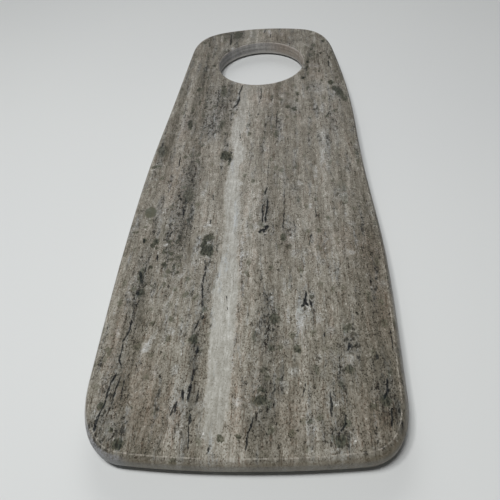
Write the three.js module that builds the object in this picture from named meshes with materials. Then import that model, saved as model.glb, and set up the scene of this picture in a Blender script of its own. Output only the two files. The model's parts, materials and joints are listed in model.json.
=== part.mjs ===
// A marble serving board: a polished stone slab with a round hand hole, stood on
// four rubber bumper feet. A disc of foam adhesive holds each foot to the stone.
// Millimetres, +Z up, +Y towards the end with the hand hole. The origin lies under
// the middle of the board, on the surface that it stands on.
import * as THREE from "three";

// Slab, overall
const BOARD_LENGTH = 457;
const BOARD_WIDTH = 173;
const SLAB_THICKNESS = 13;
const TOP_ROUND = 3;
const BOTTOM_ROUND = 4;

// Hand hole
const HOLE_DIAMETER = 82;
const HOLE_FROM_FAR_END = 73;
const HOLE_TOP_ROUND = 2;
const HOLE_BOTTOM_ROUND = 2.2;

// How far each side is drawn in from the full width, from the far corners to the front ones.
// The sides were ground by hand, so left and right differ a little.
const CROWN_SETBACK_LEFT = 16;
const CROWN_SETBACK_RIGHT = 15;
const HANDLE_SETBACK_LEFT = 12.3;
const HANDLE_SETBACK_RIGHT = 9.3;
const SHOULDER_SETBACK_LEFT = 8.5;
const SHOULDER_SETBACK_RIGHT = 6;
const WAIST_SETBACK_LEFT = 2.4;
const WAIST_SETBACK_RIGHT = 4.6;
const TOE_SETBACK_LEFT = 0.8;
const TOE_SETBACK_RIGHT = 2;
const WAIST_FROM_HOLE = 160;

// Ends of the slab: each bows out a little, between two rounded corners
const FAR_BOW = 4.5;
const FAR_CORNER_WIDTH = 33;
const FAR_CORNER_LEFT = 46;
const FAR_CORNER_RIGHT = 54;
const FRONT_PEAK_TO_LEFT = 11;
const FRONT_BOW_LEFT = 2.2;
const FRONT_BOW_RIGHT = 3.3;
const FRONT_CORNER_WIDTH = 24;
const FRONT_CORNER_LEFT = 45;
const FRONT_CORNER_RIGHT = 38;
const CORNER_FULLNESS = 0.6;

// Bumper feet and the adhesive that holds them, with the feet set in from the full width
const FOOT_DIAMETER = 12;
const FOOT_TREAD_DIAMETER = 8;
const FOOT_HEIGHT = 1;
const FOOT_RIM_HEIGHT = 0.4;
const ADHESIVE_DIAMETER = 11;
const ADHESIVE_THICKNESS = 0.3;
const FRONT_FEET_FROM_SIDE = 24.5;
const FRONT_FEET_FROM_END = 36;
const FAR_FEET_FROM_SIDE = 40.5;
const FAR_FEET_FROM_END = 29;

// How finely the round shapes are divided
const HALF_OUTLINE_STEPS = 140;
const HOLE_STEPS = 72;
const ROUND_STEPS = 4;
const FOOT_STEPS = 40;

const FRONT_Y = -BOARD_LENGTH / 2;
const FAR_Y = BOARD_LENGTH / 2;
const HOLE_Y = FAR_Y - HOLE_FROM_FAR_END;
const SLAB_BOTTOM = FOOT_HEIGHT + ADHESIVE_THICKNESS;

const marble = new THREE.MeshStandardMaterial({ color: 0x857d74, roughness: 0.35, metalness: 0 });
const rubber = new THREE.MeshStandardMaterial({ color: 0x242426, roughness: 0.8, metalness: 0 });
const foam = new THREE.MeshStandardMaterial({ color: 0xd8d5cb, roughness: 0.95, metalness: 0 });

// A point further along the line that runs from one point through another
function beyond(from, through, distance) {
  const step = through.clone().sub(from).setLength(distance);
  return through.clone().add(step);
}

// Half of the slab's outline, from the front edge's furthest point to the middle of the far end
function halfOutline(side) {
  const at = (setback, y) => new THREE.Vector2(side.sign * (BOARD_WIDTH / 2 - setback), y);
  const frontPeak = new THREE.Vector2(-FRONT_PEAK_TO_LEFT, FRONT_Y);
  const frontStart = at(side.toe + FRONT_CORNER_WIDTH, FRONT_Y + side.frontBow);
  const frontBend = new THREE.Vector2((frontPeak.x + frontStart.x) / 2, FRONT_Y);
  const toe = at(side.toe, FRONT_Y + side.frontCorner);
  const waistY = HOLE_Y - WAIST_FROM_HOLE;
  const belly = at(0, (toe.y + waistY) / 2);
  const waist = at(side.waist, waistY);
  const shoulder = at(side.shoulder, HOLE_Y - WAIST_FROM_HOLE / 2);
  const crown = at(side.crown, FAR_Y - side.farCorner);
  const handle = at(side.handle, (crown.y + shoulder.y) / 2);
  const farStart = at(side.crown + FAR_CORNER_WIDTH, FAR_Y - FAR_BOW);
  const farBend = new THREE.Vector2(farStart.x / 2, FAR_Y);

  const frontHandle = beyond(frontBend, frontStart, CORNER_FULLNESS * FRONT_CORNER_WIDTH);
  const toeHandle = beyond(belly, toe, CORNER_FULLNESS * side.frontCorner);
  const crownHandle = beyond(handle, crown, CORNER_FULLNESS * side.farCorner);
  const farHandle = beyond(farBend, farStart, CORNER_FULLNESS * FAR_CORNER_WIDTH);

  const path = new THREE.Path();
  path.moveTo(frontPeak.x, frontPeak.y);
  path.quadraticCurveTo(frontBend.x, frontBend.y, frontStart.x, frontStart.y);
  path.bezierCurveTo(frontHandle.x, frontHandle.y, toeHandle.x, toeHandle.y, toe.x, toe.y);
  path.splineThru([belly, waist, shoulder, handle, crown]);
  path.bezierCurveTo(crownHandle.x, crownHandle.y, farHandle.x, farHandle.y, farStart.x, farStart.y);
  path.quadraticCurveTo(farBend.x, farBend.y, 0, FAR_Y);
  return path.getSpacedPoints(HALF_OUTLINE_STEPS);
}

// The whole outline, counterclockwise from the front edge's furthest point
function slabOutline() {
  const right = halfOutline({
    sign: 1,
    crown: CROWN_SETBACK_RIGHT,
    handle: HANDLE_SETBACK_RIGHT,
    shoulder: SHOULDER_SETBACK_RIGHT,
    waist: WAIST_SETBACK_RIGHT,
    toe: TOE_SETBACK_RIGHT,
    farCorner: FAR_CORNER_RIGHT,
    frontCorner: FRONT_CORNER_RIGHT,
    frontBow: FRONT_BOW_RIGHT,
  });
  const left = halfOutline({
    sign: -1,
    crown: CROWN_SETBACK_LEFT,
    handle: HANDLE_SETBACK_LEFT,
    shoulder: SHOULDER_SETBACK_LEFT,
    waist: WAIST_SETBACK_LEFT,
    toe: TOE_SETBACK_LEFT,
    farCorner: FAR_CORNER_LEFT,
    frontCorner: FRONT_CORNER_LEFT,
    frontBow: FRONT_BOW_LEFT,
  });
  return [...right.slice(0, -1), ...left.reverse().slice(0, -1)];
}

// The hand hole's wall, clockwise, so that the stone lies to the left of both loops
function holeOutline() {
  const wall = new THREE.Path();
  wall.absarc(0, HOLE_Y, HOLE_DIAMETER / 2, 0, 2 * Math.PI, true);
  return wall.getSpacedPoints(HOLE_STEPS).slice(0, -1);
}

// A loop drawn into the stone by a distance
function drawnIn(loop, distance) {
  return loop.map((point, index) => {
    const before = loop.at(index - 1);
    const after = loop[(index + 1) % loop.length];
    const along = after.clone().sub(before).normalize();
    return new THREE.Vector2(point.x - along.y * distance, point.y + along.x * distance);
  });
}

// A rounded edge from the bottom face to the top one: how far it is drawn in, and its height
function edgeProfile(bottomRound, topRound) {
  const bottom = [];
  const top = [];
  for (let step = 0; step <= ROUND_STEPS; step += 1) {
    const angle = (step / ROUND_STEPS) * (Math.PI / 2);
    const opening = 1 - Math.sin(angle);
    const closing = 1 - Math.cos(angle);
    bottom.push({ inset: bottomRound * opening, height: bottomRound * closing });
    top.push({ inset: topRound * closing, height: SLAB_THICKNESS - topRound * opening });
  }
  return [...bottom, ...top];
}

// The skin that carries a loop up through an edge profile, with its lowest and highest rings
function addEdge(vertices, triangles, loop, profile) {
  const first = vertices.length;
  const count = loop.length;
  for (const { inset, height } of profile) {
    for (const point of drawnIn(loop, inset)) {
      vertices.push(new THREE.Vector3(point.x, point.y, height));
    }
  }
  for (let ring = 0; ring < profile.length - 1; ring += 1) {
    for (let index = 0; index < count; index += 1) {
      const low = first + ring * count + index;
      const lowNext = first + ring * count + ((index + 1) % count);
      triangles.push(low, lowNext, lowNext + count);
      triangles.push(low, lowNext + count, low + count);
    }
  }
  const ringAt = (ring) => loop.map((point, index) => first + ring * count + index);
  return { bottom: ringAt(0), top: ringAt(profile.length - 1) };
}

// A flat face between an outer ring and a hole's ring
function addFace(vertices, triangles, outerRing, holeRing, facesUp) {
  const flat = (corner) => new THREE.Vector2(vertices[corner].x, vertices[corner].y);
  const corners = [...outerRing, ...holeRing];
  const pieces = THREE.ShapeUtils.triangulateShape(outerRing.map(flat), [holeRing.map(flat)]);
  for (const piece of pieces) {
    const triangle = piece.map((index) => corners[index]);
    const turnsLeft = THREE.ShapeUtils.area(triangle.map(flat)) > 0;
    triangles.push(...(turnsLeft === facesUp ? triangle : triangle.reverse()));
  }
}

function slabGeometry(outline) {
  const vertices = [];
  const triangles = [];
  const outer = addEdge(vertices, triangles, outline, edgeProfile(BOTTOM_ROUND, TOP_ROUND));
  const holeProfile = edgeProfile(HOLE_BOTTOM_ROUND, HOLE_TOP_ROUND);
  const hole = addEdge(vertices, triangles, holeOutline(), holeProfile);
  addFace(vertices, triangles, outer.top, hole.top, true);
  addFace(vertices, triangles, outer.bottom, hole.bottom, false);
  const geometry = new THREE.BufferGeometry().setFromPoints(vertices);
  geometry.setIndex(triangles);
  geometry.computeVertexNormals();
  return geometry;
}

// A bumper foot, standing on its tread: a low dome cut flat, under a straight rim
function footGeometry() {
  const treadRadius = FOOT_TREAD_DIAMETER / 2;
  const footRadius = FOOT_DIAMETER / 2;
  const domeHeight = FOOT_HEIGHT - FOOT_RIM_HEIGHT;
  const profile = [new THREE.Vector2(0, 0)];
  for (let step = 0; step <= ROUND_STEPS; step += 1) {
    const angle = (step / ROUND_STEPS) * (Math.PI / 2);
    const reach = treadRadius + (footRadius - treadRadius) * Math.sin(angle);
    profile.push(new THREE.Vector2(reach, domeHeight * (1 - Math.cos(angle))));
  }
  profile.push(new THREE.Vector2(footRadius, FOOT_HEIGHT));
  profile.push(new THREE.Vector2(0, FOOT_HEIGHT));
  return new THREE.LatheGeometry(profile, FOOT_STEPS).rotateX(Math.PI / 2);
}

function adhesiveGeometry() {
  const radius = ADHESIVE_DIAMETER / 2;
  const disc = new THREE.CylinderGeometry(radius, radius, ADHESIVE_THICKNESS, FOOT_STEPS);
  return disc.rotateX(Math.PI / 2).translate(0, 0, ADHESIVE_THICKNESS / 2);
}

function addPiece(group, name, geometry, material, x, y, z) {
  const piece = new THREE.Mesh(geometry, material);
  piece.name = name;
  piece.position.set(x, y, z);
  group.add(piece);
}

const board = new THREE.Group();
const outline = slabOutline();
addPiece(board, "stone_slab", slabGeometry(outline), marble, 0, 0, SLAB_BOTTOM);

const frontFootX = BOARD_WIDTH / 2 - FRONT_FEET_FROM_SIDE;
const farFootX = BOARD_WIDTH / 2 - FAR_FEET_FROM_SIDE;
const feet = [
  { place: "front_left", x: -frontFootX, y: FRONT_Y + FRONT_FEET_FROM_END },
  { place: "front_right", x: frontFootX, y: FRONT_Y + FRONT_FEET_FROM_END },
  { place: "far_left", x: -farFootX, y: FAR_Y - FAR_FEET_FROM_END },
  { place: "far_right", x: farFootX, y: FAR_Y - FAR_FEET_FROM_END },
];
for (const { place, x, y } of feet) {
  addPiece(board, `bumper_foot_${place}`, footGeometry(), rubber, x, y, 0);
  addPiece(board, `adhesive_disc_${place}`, adhesiveGeometry(), foam, x, y, FOOT_HEIGHT);
}

// The two sides differ, so the board is moved across until its outline is centred
const middle = new THREE.Box2().setFromPoints(outline).getCenter(new THREE.Vector2());
board.position.set(-middle.x, -middle.y, 0);

export default board;
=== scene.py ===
import json
import math

import bmesh
import bpy
from mathutils import Matrix, Vector


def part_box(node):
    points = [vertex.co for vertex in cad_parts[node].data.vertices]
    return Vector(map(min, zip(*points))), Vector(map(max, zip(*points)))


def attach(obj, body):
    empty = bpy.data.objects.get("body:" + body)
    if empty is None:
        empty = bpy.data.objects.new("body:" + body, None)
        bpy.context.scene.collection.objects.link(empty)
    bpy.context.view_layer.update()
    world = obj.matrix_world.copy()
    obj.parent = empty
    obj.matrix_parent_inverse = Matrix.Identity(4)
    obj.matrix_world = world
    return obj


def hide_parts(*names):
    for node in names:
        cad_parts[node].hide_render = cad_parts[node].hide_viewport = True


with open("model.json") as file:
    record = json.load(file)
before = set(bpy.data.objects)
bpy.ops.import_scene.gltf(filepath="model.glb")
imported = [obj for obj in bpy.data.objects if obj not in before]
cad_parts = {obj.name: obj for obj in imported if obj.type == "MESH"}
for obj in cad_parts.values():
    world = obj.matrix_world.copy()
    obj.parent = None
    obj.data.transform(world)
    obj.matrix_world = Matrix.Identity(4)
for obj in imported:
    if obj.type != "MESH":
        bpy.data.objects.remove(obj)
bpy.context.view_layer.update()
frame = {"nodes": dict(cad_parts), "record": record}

MM = 0.001

# Rounding of the slab's edges: the top edge was ground by hand, so it widens towards the front
# corners, by a smaller share at the left one
SIDE_ROUND = 2.0 * MM
FRONT_ROUND = 3.0 * MM
CORNER_ROUND = 4.2 * MM
LEFT_CORNER_SHARE = 0.4
FAR_ROUND = 2.4 * MM
BOTTOM_ROUND = 4.0 * MM
HOLE_TOP_ROUND = 2.0 * MM
HOLE_BOTTOM_ROUND = 2.2 * MM
ROUND_SEGMENTS = 8
ROUND_PROFILE = 0.42
SHARP_ANGLE = math.radians(60)
SMOOTH_ANGLE = math.radians(40)

# Where along and across the board the top edge's rounding starts to change, and where it has changed
FAR_ROUND_FROM = 150 * MM
FAR_ROUND_TO = 210 * MM
FRONT_ROUND_FROM = -190 * MM
FRONT_ROUND_TO = -222 * MM
RIGHT_ROUND_FROM = 20 * MM
RIGHT_ROUND_TO = 80 * MM
LEFT_ROUND_FROM = 45 * MM
LEFT_ROUND_TO = 72 * MM

# Flat faces of the slab, with a narrow border where the rounding starts
FLAT_NORMAL = 0.9999
FLAT_TOLERANCE = 0.01 * MM
ARRIS_WIDTH = 0.35 * MM

# Finishes of the slab, in the order of its material slots
POLISHED, GROUND, SAWN = range(3)

# Reach of the hand hole from its middle, and where the grinding of its wall starts
HOLE_REACH = 45.0 * MM
HOLE_FADE = 2 * MM
GROUND_BELOW_TOP = 1.2 * MM

# The rim is honed from its height downwards, with another colour behind the front end; its side, corner,
# left and hand hole colours also hold painted reflection and painted highlight
RIM_HEIGHT = 14.1 * MM
RIM_DEPTH = 1.8 * MM
STEEP_RIM_DEPTH = 0.8 * MM
FRONT_LIMIT = -214 * MM
SIDE_LIMIT = -200 * MM

# Bumper feet
FOOT_SIDES = 64
FOOT_DOME_SHARE = 0.6
FOOT_DOME_SEGMENTS = 8
FOOT_TOP_ROUND = 0.12 * MM
FOOT_TOP_SEGMENTS = 3
TREAD_LIP = 0.5 * MM
TREAD_HOLLOW = 0.15 * MM

# Camera
CAMERA_PLACE = Vector((25.2, -311.1, 259.7)) * MM
CAMERA_PITCH_DOWN = math.radians(47.985)
CAMERA_TURN = math.radians(6.772)
CAMERA_ROLL = math.radians(6.008)
CAMERA_LENS = 36.36
CAMERA_CLIP = 0.01

# Floor and light
FLOOR_SIZE = 8.0
SKY_COLOUR = (0.97, 0.99, 1.0, 1.0)
SKY_STRENGTH = 0.09
CEILING_SIZE = (0.12, 0.3)
CEILING_PLACE = Vector((-0.1, -0.215, 1.0))
CEILING_POWER = 4.9
LAMP_SIZE = (0.16, 0.16)
LAMP_PLACE = Vector((-0.36, -0.15, 1.0))
LAMP_POWER = 3.4
SCREEN_SIZE = (1.4, 1.4)
SCREEN_PLACE = Vector((-0.25, 2.0, 1.0))
SCREEN_AIM = Vector((0, 0, 0))
SCREEN_POWER = 22.0

# Colours of the finishes, as screen levels from 0 to 255
HONED_FRONT = (122, 112, 92)
# Side rims: honed, with painted reflection of the pale floor
HONED_SIDE_AND_REFLECTION = (150, 148, 145)
# Front left corner: honed, with painted bluish reflection
HONED_CORNER_AND_REFLECTION = (150, 151, 154)
# Left rim: honed, with a painted highlight where it faces the light
HONED_LEFT_AND_HIGHLIGHT = (172, 170, 164)
# Hand hole's rim: honed, with a painted highlight
HONED_HOLE_AND_HIGHLIGHT = (176, 170, 163)
# Arris line: pale with chips and wear, partly painted highlight
ARRIS_HIGHLIGHT_AND_WEAR = (184, 178, 168)
WALL_LEFT = (172, 171, 172)
WALL_RIGHT = (178, 166, 155)
# Painted light at the foot of the hand hole's wall, lifting its shade
WALL_FOOT_PAINTED_LIGHT = (208, 205, 200)
SAWN_STONE = (160, 157, 150)
RUBBER_DARK = (34, 34, 35)
RUBBER_DUSTY = (52, 51, 50)
FOAM_DARK = (196, 192, 182)
FOAM_PALE = (226, 223, 214)
FLOOR_DARK = (211, 213, 213)
FLOOR_PALE = (215, 217, 216)

# Tints that the stone's colour is multiplied by
WARM_TINT = (1.0, 0.995, 0.972, 1)
ROSY_TINT = (1.09, 0.95, 0.90, 1)
COOL_TINT = (0.93, 1.0, 1.13, 1)
GREEN_TINT = (0.94, 1.04, 0.96, 1)
BLACK_TINT = (0.9, 0.99, 1.15, 1)

# On the stone, places are millimetres in the board's frame, and tones go from 0, black, to 255, white.
# How far each layer moves the tone, and the tones of what covers it:
BAND_SWING = 76
STRAND_SWING = 66
PATCH_SWING = 50
MOTTLE_SWING = 50
CLUSTER_CHANGE = -50
HAIR_CHANGE = -36
PALE_HAIR_CHANGE = 10
VEIN_MOTTLE_SWING = 72
VEIN_STREAK_SWING = 80
GRAIN_SWING = 28
PEPPER_CHANGE = -54
GLINT_CHANGE = 24
FAINT_TONE = 74
GREY_TONE = 87
BLACK_TONE = 30

# Half the length of each oval of a black vein, as a share of its stretch: the ovals overlap
STRETCH_SHARE = 0.58

# Colour of the stone for each tone
STONE_COLOURS = [
    (0, (0, 0, 0)), (36, (34, 33, 31)), (70, (70, 67, 59)), (96, (97, 93, 83)), (112, (113, 109, 99)),
    (128, (129, 125, 115)), (150, (151, 148, 139)), (172, (172, 170, 162)), (200, (201, 200, 194)),
    (255, (250, 250, 247)),
]

# Bands across the width: x, tone
TONE_ACROSS = [
    (-87, 118), (-78, 117), (-70, 106), (-63, 117), (-57, 109), (-50, 107), (-44, 112), (-38, 121),
    (-32, 126), (-26, 117), (-20, 132), (-8, 142), (0, 131), (8, 116), (15, 112), (24, 119), (34, 124),
    (45, 123), (55, 122), (64, 114), (75, 103), (87, 108),
]

# White vein along the board: y and its tone, y and the x of its middle, y and its half width
VEIN_TONE = [
    (-230, 142), (-195, 158), (-150, 168), (-110, 164), (-90, 160), (-50, 160), (-10, 159), (35, 160),
    (55, 158), (72, 146), (100, 140), (230, 118),
]
VEIN_MIDDLE = [
    (-230, -15), (-210, -14.8), (-190, -14.2), (-170, -14.6), (-150, -14.8), (-130, -14.8),
    (-110, -14.4), (-90, -14.6), (-70, -14.3), (-50, -15.2), (-30, -16.8), (-10, -17.3), (0, -15.6),
    (10, -13.8), (20, -16), (30, -18), (50, -16.6), (70, -15), (90, -14), (112, -12.5), (230, -8),
]
VEIN_HALF_WIDTH = [
    (-230, 2), (-215, 4), (-190, 6.0), (-170, 6.4), (-150, 6.8), (-130, 7.0), (-110, 6.4), (-90, 4.4),
    (-70, 4.4), (-50, 5.0), (-30, 5.2), (-10, 4.0), (10, 4.8), (30, 3.4), (50, 5.0), (70, 3.0),
    (90, 3.2), (112, 3), (230, 2),
]

# Soft zones that are darker or lighter than their band: x, y, half width, half length, change of tone
ZONES = [
    (-50, -20, 16, 50, -4), (-52, -88, 12, 20, -12), (-66, -150, 4, 50, -14), (-64, -185, 5, 22, -8),
    (-30, 92, 12, 26, -20), (-54, 140, 7, 36, -18), (-28, 212, 14, 18, -26), (-36, 175, 10, 30, -10),
    (8, -198, 11, 34, -16), (14, -150, 6, 22, -10), (70, -190, 13, 36, -13), (50, -208, 8, 20, -14),
    (76, -110, 9, 40, -8), (-27, -170, 5, 30, -9), (-29, 45, 6, 25, -12), (-75, 20, 8, 18, -10),
    (48, 150, 8, 40, -10), (18, -80, 7, 22, -8), (9, -50, 4, 24, -10), (-71, -90, 6, 40, 14),
    (-46, -140, 10, 45, 15), (-75, -214, 5, 9, 10), (-50, -185, 10, 30, 8), (-63, 30, 5, 90, 10),
    (28, -142, 7, 24, 14), (50, 40, 10, 80, 5), (-34, -30, 5, 60, 8), (34, -75, 8, 30, 8),
    (8, 206, 24, 16, -6), (-3, -60, 6, 70, 5), (40, 160, 30, 50, -5), (-30, 215, 20, 16, -6),
    (-58, 150, 12, 40, 8), (-3.5, -165, 1.3, 42, 14), (-0.5, -70, 2, 30, 10), (2, -212, 4, 14, -18),
    (50, -180, 12, 40, -12), (24, -133, 3, 16, 16), (66, 0, 9, 60, 9), (62, -132, 14, 30, -8),
    (0, 60, 7, 40, -12), (51, 178, 2.5, 10, -18), (47.5, 163, 2.5, 10, -20), (44.5, 148, 2.5, 10, -20),
    (43, 134, 2.5, 10, -16), (41, 124, 2.2, 6, -14), (-53, 165, 2.2, 38, -16), (40, 205, 14, 14, -9),
    (61, 160, 2, 14, -12),
]

# Zones where the stone turns bluish grey: x, y, half width, half length
COOL_ZONES = [
    (-70, -120, 6, 34), (-72, -185, 7, 26), (-66, -213, 10, 10), (-76, -212, 7, 12), (-52, -62, 9, 44),
    (-48, -15, 8, 30), (-30, -88, 6, 12), (-28, -130, 4, 26), (-29, -165, 4, 14), (-32, -198, 8, 16),
    (8, -56, 5, 26), (33, -138, 6, 14), (-34, 85, 14, 30), (-40, 50, 10, 20), (-28, 212, 10, 14),
    (-35, 178, 8, 14), (50, 105, 8, 12), (70, 98, 6, 16), (31, 72, 5, 10), (63, -38, 6, 10),
    (30, -31, 5, 5), (57, -165, 5, 16), (48, -215, 8, 10), (72, -192, 6, 10), (12, -150, 8, 24),
    (8, -195, 8, 20), (45, -195, 3, 10), (55, 20, 3, 30), (63, 50, 4, 25), (-60, 55, 5, 14),
    (25, -75, 5, 12),
]

# Zones where it turns rosy brown, with the same four values
ROSY_ZONES = [
    (14, 208, 18, 14), (24, 190, 9, 8), (-62, -20, 8, 30), (50, 135, 7, 20), (5, 90, 12, 14),
    (-57, -188, 10, 22), (-62, 45, 4, 20), (62, -85, 6, 14), (-8, -140, 5, 60), (78, -130, 6, 40),
    (-3, -200, 5, 20), (25, -205, 8, 14), (-45, -205, 12, 14), (66, -205, 10, 16), (-76, -160, 4, 40),
    (20, 105, 8, 12), (74, -92, 7, 18), (46, -88, 8, 14),
]

# Dark green and grey inclusions: x, y, half width, half length, turn in degrees, depth from 0 to 1
INCLUSIONS = [
    (-24, 8.5, 4.2, 6.0, 20, 0.95), (-21, 0, 1.0, 4.0, -10, 0.7), (-31.4, -88, 2.2, 9, 3, 1.0),
    (-27.4, -91.5, 2.2, 6, 3, 1.0), (-28.6, -79.5, 2.8, 2.6, 0, 0.9), (-30.1, -159.2, 3.1, 3.0, 0, 1.0),
    (-61.6, -219.2, 3.4, 3.0, -30, 0.95), (-67, -212, 1.5, 1.6, 0, 0.6), (-75, -199, 1.7, 2.1, 0, 0.85),
    (-57.6, 52, 1.8, 6.5, 8, 1.0), (-44, 24, 1.4, 3.0, 0, 0.5), (-45, 12, 1.3, 2.6, 0, 0.5),
    (-57, 8, 2.0, 3.0, 0, 0.5), (-78, -3, 5.0, 1.6, 0, 0.5), (65, 112, 2.9, 4.2, 15, 0.9),
    (67, 102, 2.8, 4.4, 0, 0.85), (72, 94.5, 3.4, 7.0, 15, 0.9), (75, 84, 2.0, 4.5, 10, 0.6),
    (31, 70.5, 1.9, 3.2, 10, 0.8), (25.5, 75, 1.8, 3.2, 0, 0.7), (15.5, 35, 2.0, 5.5, 0, 0.5),
    (34.5, 95, 1.4, 4.0, 0, 0.6), (33.5, 85, 1.3, 3.0, 0, 0.6), (15.5, -145.5, 3.2, 3.8, 0, 0.7),
    (14.2, -164.8, 2.3, 2.2, 0, 0.5), (28.5, -165.5, 2.2, 2.2, 0, 0.7), (9.5, -179, 1.8, 1.8, 0, 0.45),
    (8.6, -196, 3.0, 3.2, 0, 0.6), (14, -211.5, 2.4, 2.6, 0, 0.4), (-2, -215, 1.7, 1.5, 0, 0.55),
    (-11, -215.5, 1.9, 1.9, 0, 0.55), (55.5, -178, 2.8, 2.5, 0, 0.55), (48.5, -216.5, 3.4, 3.0, 0, 0.6),
    (20.5, -81, 2.2, 3.6, 0, 0.75), (24, -89, 1.6, 1.8, 0, 0.5), (-67.5, -126, 2.8, 3.0, 0, 0.6),
    (-70, -112, 2.2, 7.0, 0, 0.5), (-57, -148, 2.2, 2.0, 0, 0.4), (72, -195.5, 3.0, 3.2, 0, 0.65),
    (66, -198, 1.9, 1.9, 0, 0.45), (-26, 214, 5.0, 9.0, 0, 0.5), (57, -152, 2.6, 3.0, 0, 0.45),
    (71, -132, 1.6, 2.8, 0, 0.4), (51, -123.5, 1.5, 1.6, 0, 0.35), (-63, -164, 2.4, 2.2, 0, 0.4),
    (-56.2, 109, 1.3, 4.0, 0, 0.9), (77.5, -4, 1.2, 5.0, 0, 0.4), (79, -103, 1.6, 4.0, -10, 0.35),
    (18, -183.5, 1.4, 1.4, 0, 0.4), (9, -190, 2.2, 1.8, 0, 0.65), (-30.5, 52, 2.2, 6.5, 0, 0.5),
    (-76, 17, 4.5, 8.0, 0, 0.35), (34, -207, 1.4, 1.4, 0, 0.5), (4.5, -157, 1.6, 4.0, 0, 0.35),
    (-48, -37, 4.0, 8.0, 0, 0.4), (-45, -61, 1.3, 1.6, 0, 0.4), (-44.5, 2, 1.2, 2.4, 0, 0.45),
    (-32, 102, 3.0, 8.0, 0, 0.4), (-66.2, -65.8, 1.6, 1.2, 0, 0.6), (-80.4, -73.5, 1.8, 1.2, 0, 0.55),
    (-72.8, -81.6, 1.4, 2.4, 0, 0.75), (-64.8, -82.4, 2.2, 3.0, 0, 0.75), (-67, -86, 1.4, 2.2, 20, 0.7),
    (-63.8, -88.6, 1.5, 1.3, 0, 0.95), (-49.4, -79, 1.2, 2.8, 10, 0.7),
    (-45.4, -78.2, 1.3, 1.2, 0, 0.6), (-54.8, -82.5, 2.2, 1.2, 0, 0.5),
    (-50.2, -83.6, 1.5, 1.8, 0, 0.5), (-53.4, -86, 1.0, 1.0, 0, 0.6), (-58, -91.6, 1.8, 1.8, 0, 0.65),
    (-54, -93, 2.2, 1.0, -40, 0.75), (-47.4, -96.4, 2.6, 2.2, 0, 0.4), (-51.6, -100, 1.0, 1.3, 0, 0.65),
    (-53.6, -98.8, 1.7, 0.9, 0, 0.5), (-56, -103.2, 2.2, 1.1, -30, 0.85),
    (-64, -104.8, 1.5, 1.4, 0, 0.8), (-70, -103, 0.9, 0.9, 0, 0.85), (-65.6, -110.4, 1.0, 0.9, 0, 0.75),
    (-49, -105.6, 0.8, 2.4, 0, 0.6), (-47, -109, 1.2, 1.4, 0, 0.5), (-53.8, -119.6, 1.6, 2.4, 0, 0.4),
    (-61, -120.4, 0.9, 1.2, 0, 0.5), (62.6, 191.5, 1.5, 2.8, 0, 0.8), (52.6, 184.7, 2.0, 3.5, 0, 0.5),
    (49.6, 176.4, 1.2, 2.6, 0, 0.7), (52, 168, 0.9, 6.0, -8, 0.6), (47.8, 165.6, 1.4, 2.2, 0, 0.9),
    (58.5, 167.3, 1.3, 2.0, 0, 0.85), (45.6, 151.3, 1.5, 2.4, 0, 0.95), (45.8, 156, 1.8, 3.0, 0, 0.4),
    (44, 141, 1.1, 3.6, 0, 0.95), (44.8, 129.5, 1.0, 3.4, 0, 0.7), (40.4, 122, 1.7, 2.6, 0, 0.9),
    (66.5, 157.4, 1.1, 3.0, 0, 0.9), (65.4, 149, 1.1, 2.6, 0, 0.95), (65.4, 142, 1.0, 2.4, 0, 0.5),
    (55.4, 133, 1.4, 1.4, 0, 0.6), (56.5, 116.4, 1.4, 1.4, 0, 0.75), (71.7, 120.2, 1.0, 2.6, 0, 0.5),
    (44, 103.8, 1.2, 3.0, 0, 0.5), (68, 167.5, 1.5, 2.6, 0, 0.45), (-32.9, 102, 1.3, 3.6, 0, 0.9),
    (-32.9, 112, 1.8, 2.6, 0, 0.6), (-52.9, 86.4, 1.0, 4.0, 0, 0.6), (-46, 79.5, 1.1, 2.2, 0, 0.65),
    (-57.9, 73.3, 1.1, 4.0, 0, 0.6), (-42.9, 85.8, 1.2, 2.6, 0, 0.55), (-46, 151.4, 1.8, 1.2, 0, 0.85),
    (-49.8, 129.5, 2.6, 1.6, 0, 0.55), (-54.8, 195.8, 1.2, 4.0, 0, 0.65),
    (-44.8, 217, 1.2, 3.0, 0, 0.5), (-32.3, 197.6, 1.3, 4.6, 0, 0.85), (-36.6, 179, 1.7, 3.0, 0, 0.5),
    (-61, 201.4, 1.3, 3.0, 0, 0.5), (8.3, -37.6, 1.1, 0.9, 0, 0.9),
]

# Flat grey green inclusions, with the same six values
GREY_INCLUSIONS = [
    (-73.5, -54, 4.0, 5.8, 0, 0.95), (-74.8, -68.6, 1.7, 1.4, 0, 0.8),
    (-52.8, -108.6, 2.2, 2.2, 0, 0.7), (-54.8, -112.4, 2.2, 1.6, 0, 0.35),
    (7.4, -69.5, 1.6, 2.2, 0, 0.4), (5.6, -76.2, 1.4, 1.6, 0, 0.4), (63.5, -31, 4.2, 7.0, 0, 0.25),
    (15.5, -8, 1.9, 2.8, 0, 0.6), (64, -43, 3.4, 4.0, 0, 0.2),
]

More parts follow.
